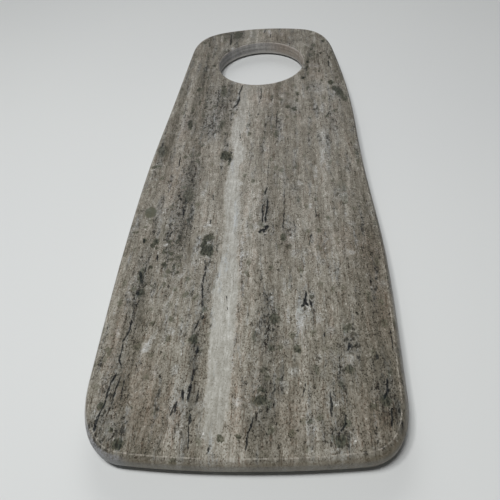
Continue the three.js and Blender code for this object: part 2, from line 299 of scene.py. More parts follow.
# Pale patches, with the same six values
PALE_PATCHES = [
    (23.2, -143, 1.2, 6.5, -4, 0.7), (30.4, -146.5, 2.5, 8.5, -4, 1.0),
    (29.4, -142.5, 1.8, 4.5, 0, 0.9), (31, -157, 1.5, 4.0, 0, 0.45), (63.5, -42, 3.0, 3.8, 0, 0.35),
    (45, -15, 1.6, 8.5, -8, 0.7), (51.5, 4, 1.7, 12, -6, 0.7), (65, -95, 2.0, 1.8, 0, 0.7),
    (57, -171.5, 2.6, 3.6, 0, 0.5), (-57, -164, 2.2, 3.8, -15, 0.8), (-58, -86.2, 1.9, 1.5, 0, 0.75),
    (25.8, -83, 1.8, 2.6, 0, 0.4), (48.5, -224, 2.4, 2.6, 0, 0.6), (-42.5, 208, 1.7, 8.0, 0, 0.7),
    (7, 217, 2.2, 6.0, 0, 0.8), (-22, -198, 1.8, 3.4, -10, 0.6), (10, 78, 1.0, 6.0, 0, 0.7),
    (-64, -122, 1.6, 1.8, 0, 0.5), (-30, 92, 3.4, 1.0, -30, 0.6), (-22.5, 83, 1.0, 4.0, -15, 0.6),
    (53, 30, 1.3, 9.0, 5, 0.6), (-29.6, 185, 1.8, 3.4, -30, 1.0), (-46, 144.5, 1.5, 6.0, 0, 0.45),
    (-55.5, -160, 1.3, 10, -20, 0.6), (-48.5, -128, 1.1, 12, -15, 0.5), (-43, -108, 1.2, 8, -10, 0.6),
    (-48, -88.4, 2.2, 1.6, 0, 0.35), (-62.4, -93, 1.2, 1.8, 0, 0.45), (-45, -112.4, 1.8, 2.0, 0, 0.5),
    (-66, -72.4, 1.8, 2.8, 0, 0.35), (-54.8, -78, 0.9, 2.8, -20, 0.45), (9.3, -76.2, 0.9, 0.8, 0, 1.0),
    (8, -67.3, 0.7, 0.7, 0, 0.9),
]

# Black veins that are solid: half width, then the route through x, y
SOLID_VEINS = [
    (0.6, [(9.9, -43.5), (9.9, -50), (9.4, -54.5), (8.6, -59.5), (8.7, -65.5)]),
    (0.5, [(7, -48.5), (6.2, -53), (6.8, -57.5), (6.5, -61), (6.6, -66)]),
    (1.5, [(9.6, -69.4), (10, -72)]),
    (0.8, [(10, -72), (8, -73.4), (6.6, -73.2), (5.2, -74.6), (4.6, -76.2)]),
    (0.9, [(8.1, -73.6), (7.8, -75.6)]),
    (0.75, [(8.4, -77.6), (8.9, -78.4)]),
    (0.7, [(34.6, -126.8), (34.2, -130.4)]),
    (1.15, [(33.9, -131), (33.2, -135)]),
    (0.7, [(33.2, -134.6), (31.6, -137)]),
    (0.8, [(34, -134), (35.2, -136.4)]),
    (0.7, [(36.4, -132.4), (37.6, -136.6)]),
    (0.8, [(-17.5, 92), (-19, 82), (-22.5, 76)]),
    (0.8, [(9, -31), (8, -37)]),
    (0.7, [(57.4, -163), (55.8, -166)]),
    (0.45, [(-69.1, -146.5), (-69, -153), (-70.6, -158), (-71.4, -160.4)]),
    (0.45, [(-71, -162), (-70.8, -167), (-71, -172), (-69, -175.6)]),
    (0.6, [(-70.8, -181), (-72.2, -186)]),
    (0.5, [(-28.9, -146.7), (-30.4, -153)]),
    (0.7, [(-27.4, -164), (-27.5, -168.6)]),
    (0.7, [(-32.8, -190.4), (-31.8, -195.4)]),
    (0.6, [(-28.6, -187), (-29, -192), (-29.2, -196)]),
    (0.5, [(74.9, -183), (74.2, -187), (73.9, -191)]),
    (0.45, [(74.4, -200), (73.9, -204.6), (73.2, -209)]),
    (0.7, [(-62, -94.8), (-61.4, -99.4)]),
]

# Black veins that are broken up, in the same way
BLACK_VEINS = [
    (0.8, [(-16, 114), (-17, 106), (-18, 100), (-17.5, 88), (-19, 82), (-22.5, 76)]),
    (1.1, [(-71.4, -108.5), (-69.6, -112), (-68.6, -116), (-68.2, -119)]),
    (1.2, [(-70.2, -123.4), (-68.4, -128)]),
    (0.45, [(-69.2, -133), (-69.2, -144)]),
    (0.6, [(-72.2, -186), (-73.2, -193), (-73.4, -200), (-75.2, -206), (-75.4, -212)]),
    (1.0, [(-75.2, -205), (-75.4, -212)]),
    (0.5, [(-68, -182), (-69, -191), (-70, -203)]),
    (0.4, [(-65.5, -184), (-65, -199)]),
    (0.6, [(-29.8, -37), (-29.6, -43)]),
    (0.7, [(-29.6, -62), (-29.4, -68)]),
    (0.8, [(-29.5, -99), (-28.5, -108), (-29.5, -118), (-28.4, -130), (-27.4, -138)]),
    (0.9, [(-26.4, -142), (-26.6, -146)]),
    (0.6, [(-28, -177), (-28.4, -184), (-30, -192)]),
    (0.8, [(-35.6, -198), (-37.6, -205)]),
    (0.7, [(-34.8, -196.6), (-35.2, -204)]),
    (0.5, [(-24, -189), (-24.6, -196)]),
    (0.9, [(-27.4, -203), (-26.4, -208)]),
    (0.5, [(-27, -209), (-26, -222)]),
    (0.8, [(9.4, -30), (8, -38)]),
    (0.7, [(58, -161), (55.4, -165)]),
    (0.7, [(44.4, -191), (45, -197), (44.4, -204)]),
    (0.6, [(51.4, -202), (51, -208), (47, -214)]),
    (0.7, [(74.2, -183), (74, -190), (71, -195)]),
    (0.6, [(32.2, -186), (30.6, -193)]),
    (0.5, [(5.4, -204), (3, -214), (2, -223)]),
    (0.6, [(-15.6, -219), (-16.6, -224)]),
    (0.8, [(25.4, -169.4), (25.6, -170.6)]),
    (0.6, [(44, -153), (43.6, -158)]),
    (0.4, [(21.8, -34), (21.4, -60), (20.8, -74)]),
    (0.9, [(21, -68), (20.8, -71)]),
    (0.5, [(43.4, -52), (43.4, -63)]),
    (0.6, [(39.6, -78), (37.8, -88)]),
    (0.5, [(52.4, 184), (50, 174)]),
    (0.5, [(43.8, 142), (43.6, 132)]),
    (0.8, [(41, 124), (39.6, 120)]),
    (1.2, [(45.8, 153), (44.6, 149)]),
    (0.8, [(58.4, 168), (58, 165)]),
    (0.8, [(65.8, 158), (65.6, 155)]),
    (0.8, [(65, 152), (64.8, 141)]),
    (0.9, [(62.4, 193), (61.6, 190)]),
    (0.6, [(-53.6, 197), (-54.2, 190)]),
    (0.5, [(-53, 152), (-52.6, 140)]),
    (1.4, [(-46.4, 152.4), (-45.4, 151.6)]),
    (0.9, [(-33, 219), (-32.8, 205), (-32.4, 192)]),
    (0.9, [(2.6, 224), (2.4, 216)]),
    (0.8, [(9, 214), (8.2, 204)]),
    (0.5, [(20, 199), (20.2, 193)]),
    (0.8, [(28.6, 192), (28.2, 187)]),
    (0.6, [(1.2, 110), (1.8, 95), (0.8, 84)]),
    (0.7, [(0, 67), (-0.2, 63)]),
    (0.6, [(19.8, 84), (19, 79)]),
    (0.5, [(16.4, 70), (15.6, 52), (15.4, 42)]),
    (0.5, [(-14.8, 41), (-13.2, 28)]),
    (0.3, [(-13.6, -128), (-13, -133)]),
    (0.3, [(-12.6, -136), (-12, -140)]),
    (0.6, [(-53.6, -71.5), (-56, -75), (-58.4, -79)]),
    (0.9, [(-73.6, -80), (-73, -84)]),
    (1.0, [(-50.4, -50), (-49, -58)]),
    (0.4, [(10, 4), (9.6, -22)]),
    (0.7, [(-60.4, 10), (-60.2, -4)]),
    (0.6, [(61, 66), (57.6, 57)]),
    (0.6, [(25, 30), (24.8, 27)]),
    (0.6, [(71.4, -167), (71, -173)]),
    (0.5, [(80.4, -154), (80.2, -166)]),
    (1.1, [(-20.6, 14), (-19.4, 11)]),
    (0.9, [(-27.6, 12.6), (-26.6, 10)]),
    (1.1, [(-20.4, 6), (-21.2, 1)]),
]


def srgb_to_linear(level):
    """The linear light of a screen level from 0 to 255."""
    share = level / 255
    if share <= 0.04045:
        return share / 12.92
    return ((share + 0.055) / 1.055) ** 2.4


def linear_colour(red, green, blue):
    """The linear colour of three screen levels."""
    return (srgb_to_linear(red), srgb_to_linear(green), srgb_to_linear(blue), 1.0)


class Nodes:
    """A shader node tree, with a short call for each kind of node that the finishes use."""

    def __init__(self, tree):
        self.tree = tree

    def add(self, kind, **settings):
        node = self.tree.nodes.new(kind)
        for name, value in settings.items():
            setattr(node, name, value)
        return node

    def feed(self, socket, value):
        if isinstance(value, bpy.types.NodeSocket):
            self.tree.links.new(value, socket)
        else:
            socket.default_value = value

    def math(self, operation, first, second=0.0, third=0.0):
        node = self.add("ShaderNodeMath", operation=operation)
        for socket, value in zip(node.inputs, (first, second, third)):
            self.feed(socket, value)
        return node.outputs["Value"]

    def times(self, first, second):
        return self.math("MULTIPLY", first, second)

    def vector(self, operation, first, second=(0.0, 0.0, 0.0)):
        node = self.add("ShaderNodeVectorMath", operation=operation)
        self.feed(node.inputs[0], first)
        self.feed(node.inputs[1], second)
        return node.outputs["Value" if operation in ("LENGTH", "DOT_PRODUCT") else "Vector"]

    def split(self, vector):
        node = self.add("ShaderNodeSeparateXYZ")
        self.feed(node.inputs["Vector"], vector)
        return node.outputs["X"], node.outputs["Y"], node.outputs["Z"]

    def join(self, x, y, z):
        node = self.add("ShaderNodeCombineXYZ")
        for socket, value in zip(node.inputs, (x, y, z)):
            self.feed(socket, value)
        return node.outputs["Vector"]

    def noise(self, place, grain, detail=2.0, roughness=0.5, output="Fac"):
        """Smooth noise whose features are about grain = (x, y, z) long, in the place's own unit."""
        node = self.add("ShaderNodeTexNoise", noise_dimensions="3D")
        shrunk = self.vector("DIVIDE", place, grain)
        self.feed(node.inputs["Vector"], shrunk)
        self.feed(node.inputs["Scale"], 1.0)
        self.feed(node.inputs["Detail"], detail)
        self.feed(node.inputs["Roughness"], roughness)
        return node.outputs[output]

    def cells(self, place, grain):
        node = self.add("ShaderNodeTexVoronoi", feature="F1")
        self.feed(node.inputs["Vector"], self.vector("DIVIDE", place, grain))
        self.feed(node.inputs["Scale"], 1.0)
        return node.outputs

    def crystals(self, place, grain):
        """A random value from 0 to 1 for each crystal of about the size grain, and the crystal's middle."""
        cell = self.cells(place, grain)
        middle = self.vector("MULTIPLY", cell["Position"], grain)
        return self.split(cell["Color"])[0], middle

    def scatter(self, place, grain):
        """Random points about grain apart: how near the next one is, and two random values of it."""
        cell = self.cells(place, grain)
        first, second, _ = self.split(cell["Color"])
        return cell["Distance"], first, second

    def remap(self, value, low, high, to_low=0.0, to_high=1.0, ease="SMOOTHSTEP"):
        node = self.add("ShaderNodeMapRange", interpolation_type=ease)
        self.feed(node.inputs["Value"], value)
        self.feed(node.inputs["From Min"], low)
        self.feed(node.inputs["From Max"], high)
        self.feed(node.inputs["To Min"], to_low)
        self.feed(node.inputs["To Max"], to_high)
        return node.outputs["Result"]

    def blend(self, factor, first, second):
        """A value that goes from first to second with the factor."""
        node = self.add("ShaderNodeMix", data_type="FLOAT")
        self.feed(node.inputs[0], factor)
        self.feed(node.inputs[2], first)
        self.feed(node.inputs[3], second)
        return node.outputs[0]

    def blend_vector(self, factor, first, second):
        """A place between first and second."""
        node = self.add("ShaderNodeMix", data_type="VECTOR")
        self.feed(node.inputs[0], factor)
        self.feed(node.inputs[4], first)
        self.feed(node.inputs[5], second)
        return node.outputs[1]

    def tint(self, factor, first, second, way="MIX"):
        """A colour that goes from first to second with the factor."""
        node = self.add("ShaderNodeMix", data_type="RGBA", blend_type=way)
        self.feed(node.inputs[0], factor)
        self.feed(node.inputs[6], first)
        self.feed(node.inputs[7], second)
        return node.outputs[2]

    def curve(self, value, points, low, high):
        """A smooth curve through points (value, result), with its results between low and high."""
        node = self.add("ShaderNodeFloatCurve")
        first, last = points[0][0], points[-1][0]
        line = node.mapping.curves[0]
        places = [((at - first) / (last - first), (result - low) / (high - low)) for at, result in points]
        line.points[0].location = places[0]
        line.points[1].location = places[-1]
        for place in places[1:-1]:
            line.points.new(*place)
        node.mapping.update()
        self.feed(node.inputs["Value"], self.remap(value, first, last, ease="LINEAR"))
        return self.remap(node.outputs["Value"], 0.0, 1.0, low, high, ease="LINEAR")

    def ramp(self, value, stops):
        """A colour for the value, from stops (value from 0 to 1, colour)."""
        node = self.add("ShaderNodeValToRGB")
        band = node.color_ramp
        band.elements[0].position, band.elements[0].color = stops[0]
        band.elements[1].position, band.elements[1].color = stops[-1]
        for place, colour in stops[1:-1]:
            band.elements.new(place).color = colour
        self.feed(node.inputs["Fac"], value)
        return node.outputs["Color"]

    def group(self, tree, **inputs):
        node = self.add("ShaderNodeGroup", node_tree=tree)
        for name, value in inputs.items():
            self.feed(node.inputs[name.replace("_", " ")], value)
        return node.outputs

    def bump(self, height, depth, strength):
        node = self.add("ShaderNodeBump")
        self.feed(node.inputs["Height"], height)
        self.feed(node.inputs["Distance"], depth)
        self.feed(node.inputs["Strength"], strength)
        return node.outputs["Normal"]

    def dress(self, shader, colour, roughness, normal):
        """Feeds a shader what varies over the surface."""
        self.feed(shader.inputs["Base Color"], colour)
        self.feed(shader.inputs["Roughness"], roughness)
        self.feed(shader.inputs["Normal"], normal)


def new_group(name, inputs, outputs):
    """An empty shader node group, with its nodes, its input sockets and its output node."""
    tree = bpy.data.node_groups.new(name, "ShaderNodeTree")
    for socket, kind in inputs.items():
        tree.interface.new_socket(socket, in_out="INPUT", socket_type=f"NodeSocket{kind}")
    for socket, kind in outputs.items():
        tree.interface.new_socket(socket, in_out="OUTPUT", socket_type=f"NodeSocket{kind}")
    nodes = Nodes(tree)
    start = nodes.add("NodeGroupInput")
    end = nodes.add("NodeGroupOutput")
    return nodes, start.outputs, end.inputs


def spot_group():
    """Adds one oval spot to a trail: a vector of the place's x and y, whose z sums the spots so far."""
    nodes, given, result = new_group(
        "stone_spot",
        {"Trail": "Vector", "Middle": "Vector", "Across": "Vector", "Along": "Vector", "Inner": "Float",
         "Outer": "Float", "Change": "Float"},
        {"Trail": "Vector"},
    )
    seated = nodes.vector("SUBTRACT", given["Trail"], given["Middle"])
    across = nodes.vector("DOT_PRODUCT", seated, given["Across"])
    along = nodes.vector("DOT_PRODUCT", seated, given["Along"])
    reach = nodes.vector("LENGTH", nodes.join(across, along, 0.0))
    change = nodes.remap(reach, given["Outer"], given["Inner"], 0.0, given["Change"])
    nodes.feed(result["Trail"], nodes.vector("ADD", given["Trail"], nodes.join(0.0, 0.0, change)))
    return nodes.tree


def spots(nodes, spot, place, ovals, inner, outer):
    """The sum of a list of ovals (x, y, half width, half length, turn, change) at a place."""
    x, y, _ = nodes.split(place)
    trail = nodes.join(x, y, 0.0)
    for x_mm, y_mm, half_width, half_length, turn, change in ovals:
        cosine, sine = math.cos(math.radians(turn)), math.sin(math.radians(turn))
        across = (cosine / half_width, sine / half_width, 0.0)
        along = (-sine / half_length, cosine / half_length, 0.0)
        trail = nodes.group(
            spot, Trail=trail, Middle=(x_mm, y_mm, 0.0), Across=across, Along=along, Inner=inner,
            Outer=outer, Change=change,
        )["Trail"]
    return nodes.split(trail)[2]


def patches(nodes, spot, place, ovals, inner, outer):
    """One mask over a list of ovals (x, y, half width, half length, turn)."""
    whole = [(*oval, 1.0) for oval in ovals]
    return nodes.math("MINIMUM", spots(nodes, spot, place, whole, inner, outer), 1.0)


def vein_ovals(veins):
    """The long ovals that follow each vein's route, one for each stretch of it."""
    ovals = []
    for half_width, route in veins:
        for (x0, y0), (x1, y1) in zip(route, route[1:]):
            length = math.hypot(x1 - x0, y1 - y0)
            turn = math.degrees(math.atan2(y1 - y0, x1 - x0)) - 90
            ovals.append(((x0 + x1) / 2, (y0 + y1) / 2, half_width, STRETCH_SHARE * length, turn))
    return ovals


def stone_group():
    """The colour of the banded stone, and the value of each crystal in it, at a place in metres."""
    nodes, given, result = new_group(
        "banded_stone", {"Position": "Vector"}, {"Color": "Color", "Grain": "Float"},
    )
    spot = spot_group()
    place = nodes.vector("SCALE", given["Position"])
    nodes.feed(place.node.inputs["Scale"], 1 / MM)
    y = nodes.split(place)[1]

    def sway(grain, reach, detail):
        """A wandering offset of the place, up to about reach."""
        noise = nodes.noise(place, grain, detail=detail, roughness=0.6, output="Color")
        return nodes.vector("MULTIPLY", nodes.vector("SUBTRACT", noise, (0.5, 0.5, 0.5)), reach)

    def vary(tone, noise, amount):
        """A tone or a mask, moved by a noise around its middle."""
        return nodes.math("MULTIPLY_ADD", nodes.math("SUBTRACT", noise, 0.5), amount, tone)

    # Bands wander a little, strands sway gently along them, and inclusions are made of whole grains
    ragged = nodes.vector("ADD", place, sway((5, 9, 9), (4.5, 6.0, 0.0), 3))
    jagged = nodes.vector("ADD", ragged, sway((1.5, 2.4, 2.0), (3.2, 3.6, 0.0), 2))
    wavy = nodes.vector("ADD", place, sway((6, 16, 12), (5.0, 7.0, 0.0), 3))
    thin = nodes.blend_vector(0.25, place, ragged)
    thin = nodes.vector("ADD", thin, sway((1.4, 3.2, 2.0), (1.2, 1.2, 0.0), 2))
    rough_x = nodes.split(ragged)[0]
    mottle = nodes.noise(place, (2.6, 5, 5), detail=3, roughness=0.65)
    crystal, _ = nodes.crystals(place, (0.8, 1.05, 0.9))

    # Bands across the width, with streaks along them
    zones = [(*oval, 0, change) for *oval, change in ZONES]
    tone = nodes.curve(rough_x, TONE_ACROSS, 0, 255)
    tone = nodes.math("ADD", tone, spots(nodes, spot, ragged, zones, 0.1, 1.6))
    tone = vary(tone, nodes.noise(wavy, (6, 70, 40), detail=3, roughness=0.55), BAND_SWING)
    tone = vary(tone, nodes.noise(wavy, (1.8, 24, 10), detail=3, roughness=0.6), STRAND_SWING)
    tone = vary(tone, nodes.noise(jagged, (4.5, 8, 8), detail=3, roughness=0.6), PATCH_SWING)
    tone = vary(tone, mottle, MOTTLE_SWING)

    # Bluish zones, with dark clusters in them
    cool = patches(nodes, spot, ragged, [(*oval, 0) for oval in COOL_ZONES], 0.1, 1.5)
    hue = nodes.noise(ragged, (4, 34, 20), detail=3, roughness=0.6)
    cool = nodes.math("ADD", nodes.times(cool, 0.7), nodes.remap(hue, 0.48, 0.32, 0.0, 0.9))
    cluster = nodes.noise(jagged, (1.9, 3.6, 3), detail=3, roughness=0.7)
    cluster = nodes.math("MULTIPLY_ADD", cool, 0.10, cluster)
    cluster = nodes.remap(cluster, 0.60, 0.67)
    tone = nodes.math("MULTIPLY_ADD", cluster, CLUSTER_CHANGE, tone)

    # Brown hairlines along the bands, and pale ones between them
    hairs = nodes.noise(wavy, (0.75, 14, 8), detail=2, roughness=0.6)
    hair = nodes.times(nodes.remap(hairs, 0.56, 0.66), nodes.remap(mottle, 0.38, 0.54, 0.2, 1.0))
    tone = nodes.math("MULTIPLY_ADD", hair, HAIR_CHANGE, tone)
    tone = nodes.math("MULTIPLY_ADD", nodes.remap(hairs, 0.42, 0.32), PALE_HAIR_CHANGE, tone)

    # White vein along the board, in streaks
    middle = nodes.curve(y, VEIN_MIDDLE, -20, -6)
    half_width = nodes.curve(y, VEIN_HALF_WIDTH, 0, 8)
    vein_x = nodes.split(nodes.blend_vector(0.8, wavy, jagged))[0]
    to_right = nodes.math("SUBTRACT", vein_x, middle)
    past_right = nodes.times(to_right, 0.9)
    past_left = nodes.times(to_right, -1.0)
    off_middle = nodes.math("MAXIMUM", past_right, past_left)
    streak = nodes.noise(wavy, (1.5, 40, 20), detail=3, roughness=0.6)
    off_middle = nodes.math("MULTIPLY_ADD", nodes.math("SUBTRACT", streak, 0.5), 5.0, off_middle)
    vein = nodes.remap(nodes.math("SUBTRACT", off_middle, half_width), 1.3, -1.3)
    vein = nodes.times(vein, nodes.remap(y, -225, -208))
    vein_tone = vary(nodes.curve(y, VEIN_TONE, 0, 255), mottle, VEIN_MOTTLE_SWING)
    vein_tone = vary(vein_tone, streak, VEIN_STREAK_SWING)
    tone = nodes.blend(vein, tone, vein_tone)

    # Faint inclusions and pale clouds, scattered
    reach, first, second = nodes.scatter(jagged, (6.5, 8.5, 8))
    beside = nodes.math("SUBTRACT", 1.0, vein)
    faint = nodes.times(nodes.remap(reach, 0.36, 0.18), nodes.remap(first, 0.5, 0.9, 0.0, 0.6))
    faint = nodes.times(faint, beside)
    cloud = nodes.times(nodes.remap(reach, 0.62, 0.2), nodes.remap(second, 0.6, 0.95, 0.0, 0.75))
    cloud = nodes.times(nodes.times(cloud, beside), nodes.remap(first, 0.5, 0.45))
    tone = nodes.math("MULTIPLY_ADD", cloud, nodes.remap(crystal, 0.0, 1.0, 8, 30), tone)
    tone = nodes.blend(faint, tone, FAINT_TONE)

    # Pale patches, inclusions and black veins
    pale = nodes.math("MINIMUM", spots(nodes, spot, jagged, PALE_PATCHES, 0.5, 1.4), 1.0)
    tone = nodes.blend(nodes.times(pale, 0.9), tone, nodes.remap(mottle, 0.3, 0.7, 138, 178))
    blotch = nodes.noise(place, (1.1, 2.6, 2), detail=3, roughness=0.65)
    shard, shard_middle = nodes.crystals(ragged, (1.1, 1.4, 1.3))
    green = nodes.math("MINIMUM", spots(nodes, spot, shard_middle, INCLUSIONS, 0.65, 1.2), 1.0)
    green = nodes.times(green, nodes.remap(shard, 0.0, 1.0, 1.1, 1.6))
    green = nodes.math("MINIMUM", green, 1.0)
    tone = nodes.blend(green, tone, nodes.remap(blotch, 0.36, 0.62, 40, 82))
    grey = nodes.math("MINIMUM", spots(nodes, spot, ragged, GREY_INCLUSIONS, 0.8, 1.1), 1.0)
    tone = nodes.blend(grey, tone, GREY_TONE)
    black = patches(nodes, spot, thin, vein_ovals(BLACK_VEINS), 0.3, 1.9)
    black = vary(black, blotch, nodes.times(black, 2.0))
    black = nodes.times(nodes.remap(black, 0.64, 0.98), 0.86)
    solid = patches(nodes, spot, thin, vein_ovals(SOLID_VEINS), 0.6, 1.45)
    black = nodes.math("MAXIMUM", black, nodes.times(solid, 0.98))
    tone = nodes.blend(black, tone, BLACK_TONE)

    # Crystals, dark specks in rows, and a few bright ones
    crowd = nodes.noise(wavy, (3, 16, 12), detail=2)
    speck = nodes.noise(place, (0.75, 1.0, 0.9), detail=1, roughness=0.6)
    pepper = nodes.times(nodes.remap(speck, 0.55, 0.65), nodes.remap(crowd, 0.36, 0.62, 0.35, 1.0))
    glint = nodes.remap(crystal, 0.988, 0.997)
    included = nodes.math("MAXIMUM", green, grey)
    calm = nodes.remap(vein, 0.0, 1.0, 1.0, 0.5)
    calm = nodes.times(calm, nodes.remap(included, 0.0, 1.0, 1.0, 0.35))
    grain = nodes.times(nodes.math("SUBTRACT", crystal, 0.12), GRAIN_SWING)
    grain = nodes.math("MULTIPLY_ADD", pepper, PEPPER_CHANGE, grain)
    grain = nodes.math("MULTIPLY_ADD", glint, GLINT_CHANGE, grain)
    tone = nodes.math("MULTIPLY_ADD", grain, calm, tone)

    # Colour: olive tan by tone, turning rosy brown or bluish grey in places
    stops = [(level / 255, linear_colour(*colour)) for level, colour in STONE_COLOURS]
    colour = nodes.ramp(nodes.math("DIVIDE", tone, 255), stops)
    fleck = nodes.noise(place, (1.2, 2.4, 2), detail=2, roughness=0.6)
    rosy = patches(nodes, spot, ragged, [(*oval, 0) for oval in ROSY_ZONES], 0.1, 1.5)
    rosy = nodes.math("ADD", nodes.times(rosy, 0.4), nodes.remap(hue, 0.54, 0.70, 0.0, 0.35))
    rosy = nodes.math("MULTIPLY_ADD", nodes.math("MAXIMUM", hair, pepper), 0.9, rosy)
    rosy = nodes.times(rosy, beside)
    rosy = nodes.times(rosy, nodes.remap(fleck, 0.35, 0.6, 0.3, 1.0))
    cool = nodes.times(cool, nodes.remap(fleck, 0.65, 0.4, 0.3, 1.0))
    whitish = nodes.times(nodes.math("MAXIMUM", pale, cloud), 0.6)
    cool = nodes.math("MAXIMUM", cool, nodes.math("MULTIPLY_ADD", vein, 0.18, whitish))
    greenish = nodes.math("MAXIMUM", nodes.math("MAXIMUM", green, faint), grey)
    colour = nodes.tint(nodes.remap(y, -50, -190), colour, WARM_TINT, "MULTIPLY")
    colour = nodes.tint(rosy, colour, ROSY_TINT, "MULTIPLY")
    colour = nodes.tint(cool, colour, COOL_TINT, "MULTIPLY")
    colour = nodes.tint(greenish, colour, GREEN_TINT, "MULTIPLY")
    colour = nodes.tint(black, colour, BLACK_TINT, "MULTIPLY")
    nodes.feed(result["Color"], colour)
    nodes.feed(result["Grain"], crystal)
    return nodes.tree


def new_material(name):
    """A new material, with its nodes, its shader and the place in the object's own frame."""
    material = bpy.data.materials.new(name)
    material.use_nodes = True
    nodes = Nodes(material.node_tree)
    place = nodes.add("ShaderNodeTexCoord").outputs["Object"]
    return material, nodes, material.node_tree.nodes["Principled BSDF"], place


def polished_marble(stone, hole):
    """The top and the outside: polished, paler along its rim, with painted reflection and painted highlight
    on the rim, and a pale arris line that is partly chips and partly painted highlight.
    """
    material, nodes, shader, place = new_material("polished_marble")
    pattern = nodes.group(stone, Position=place)
    arris = nodes.add("ShaderNodeAttribute", attribute_name="arris").outputs["Fac"]
    # The pale arris line: partly chips and wear, partly painted highlight, broken up by noise and grain
    broken = nodes.remap(nodes.noise(place, (7 * MM, 7 * MM, 7 * MM), detail=3), 0.40, 0.60, 0.4, 1.0)
    chipped_highlight = nodes.times(broken, nodes.remap(pattern["Grain"], 0.3, 1.0, 0.25, 0.85))
    worn_and_highlit = nodes.times(arris, chipped_highlight)
    across, along, height = nodes.split(place)
    side = nodes.remap(along, FRONT_LIMIT, SIDE_LIMIT)
    left = nodes.times(side, nodes.remap(across, 10 * MM, -30 * MM))
    corner = nodes.remap(across, -52 * MM, -64 * MM)
    # Rim colours: honed front, with painted reflection on the sides and front left corner and a painted
    # highlight on the left rim
    honed_and_lit = nodes.tint(side, linear_colour(*HONED_FRONT), linear_colour(*HONED_SIDE_AND_REFLECTION))
    honed_and_lit = nodes.tint(corner, honed_and_lit, linear_colour(*HONED_CORNER_AND_REFLECTION))
    honed_and_lit = nodes.tint(left, honed_and_lit, linear_colour(*HONED_LEFT_AND_HIGHLIGHT))
    speckled = nodes.remap(pattern["Grain"], 0.0, 1.0, 0.25, 0.95)
    strength = nodes.blend(left, nodes.blend(corner, 0.45, speckled), 0.75)
    beside_hole = nodes.vector("MULTIPLY", nodes.vector("SUBTRACT", place, hole), (1, 1, 0))
    from_hole = nodes.vector("LENGTH", beside_hole)
    in_hole = nodes.remap(from_hole, HOLE_REACH + HOLE_FADE, HOLE_REACH)
    steep = nodes.math("MAXIMUM", in_hole, corner)
    rim_foot = nodes.blend(steep, RIM_HEIGHT - RIM_DEPTH, RIM_HEIGHT - STEEP_RIM_DEPTH)
    rim = nodes.remap(height, RIM_HEIGHT, rim_foot)
    # Painted highlight on the hand hole's rounded rim, broken up by noise
    honed_and_lit = nodes.tint(in_hole, honed_and_lit, linear_colour(*HONED_HOLE_AND_HIGHLIGHT))
    strength = nodes.blend(in_hole, strength, broken)
    colour = nodes.tint(nodes.times(rim, strength), pattern["Color"], honed_and_lit)
    colour = nodes.tint(worn_and_highlit, colour, linear_colour(*ARRIS_HIGHLIGHT_AND_WEAR))
    roughness = nodes.remap(pattern["Grain"], 0.0, 1.0, 0.40, 0.52)
    nodes.dress(shader, colour, roughness, nodes.bump(pattern["Grain"], 0.02 * MM, 0.25))
    shader.inputs["IOR"].default_value = 1.5
    return material


def ground_marble(stone):
    """The hand hole's wall: ground dull in level lines, bluish on the left and tan on the right, with
    painted light at its foot.
    """
    material, nodes, shader, place = new_material("ground_marble")
    pattern = nodes.group(stone, Position=place)
    rings = nodes.noise(place, (60 * MM, 60 * MM, 1.4 * MM), detail=3, roughness=0.7)
    across, _, height = nodes.split(place)
    to_right = nodes.remap(across, -4 * MM, 26 * MM)
    dull = nodes.tint(to_right, linear_colour(*WALL_LEFT), linear_colour(*WALL_RIGHT))
    paler = nodes.tint(0.5, pattern["Color"], dull)
    shade = nodes.remap(rings, 0.35, 0.65, 0.78, 1.12)
    colour = nodes.tint(1.0, paler, nodes.join(shade, shade, shade), "MULTIPLY")
    # Painted light: paler towards the wall's foot, where the gap under the slab shades it
    foot = nodes.remap(height, 5.5 * MM, 2 * MM, 0.0, 0.75)
    colour = nodes.tint(foot, colour, linear_colour(*WALL_FOOT_PAINTED_LIGHT))
    roughness = nodes.remap(rings, 0.3, 0.7, 0.62, 0.8)
    nodes.dress(shader, colour, roughness, nodes.bump(rings, 0.15 * MM, 0.5))
    return material


def sawn_marble(stone):
    """The underside, left dull by the saw."""
    material, nodes, shader, place = new_material("sawn_marble")
    pattern = nodes.group(stone, Position=place)
    cuts = nodes.noise(place, (1.3 * MM, 160 * MM, 160 * MM), detail=3, roughness=0.65)
    paler = nodes.tint(0.4, pattern["Color"], linear_colour(*SAWN_STONE))
    roughness = nodes.remap(cuts, 0.3, 0.7, 0.7, 0.9)
    nodes.dress(shader, paler, roughness, nodes.bump(cuts, 0.12 * MM, 0.5))
    return material


def bumper_rubber():
    material, nodes, shader, place = new_material("bumper_rubber")
    dust = nodes.noise(place, (1.6 * MM, 1.6 * MM, 0.6 * MM), detail=4, roughness=0.6)
    colour = nodes.ramp(dust, [(0.3, linear_colour(*RUBBER_DARK)), (0.7, linear_colour(*RUBBER_DUSTY))])
    roughness = nodes.remap(dust, 0.3, 0.7, 0.55, 0.75)
    nodes.dress(shader, colour, roughness, nodes.bump(dust, 0.03 * MM, 0.4))
    return material


def adhesive_foam():
    material, nodes, shader, place = new_material("adhesive_foam")
    cells, _ = nodes.crystals(place, (0.18 * MM, 0.18 * MM, 0.18 * MM))
    colour = nodes.ramp(cells, [(0.0, linear_colour(*FOAM_DARK)), (1.0, linear_colour(*FOAM_PALE))])
    roughness = nodes.remap(cells, 0.0, 1.0, 0.85, 0.95)
    nodes.dress(shader, colour, roughness, nodes.bump(cells, 0.05 * MM, 0.5))
    return material


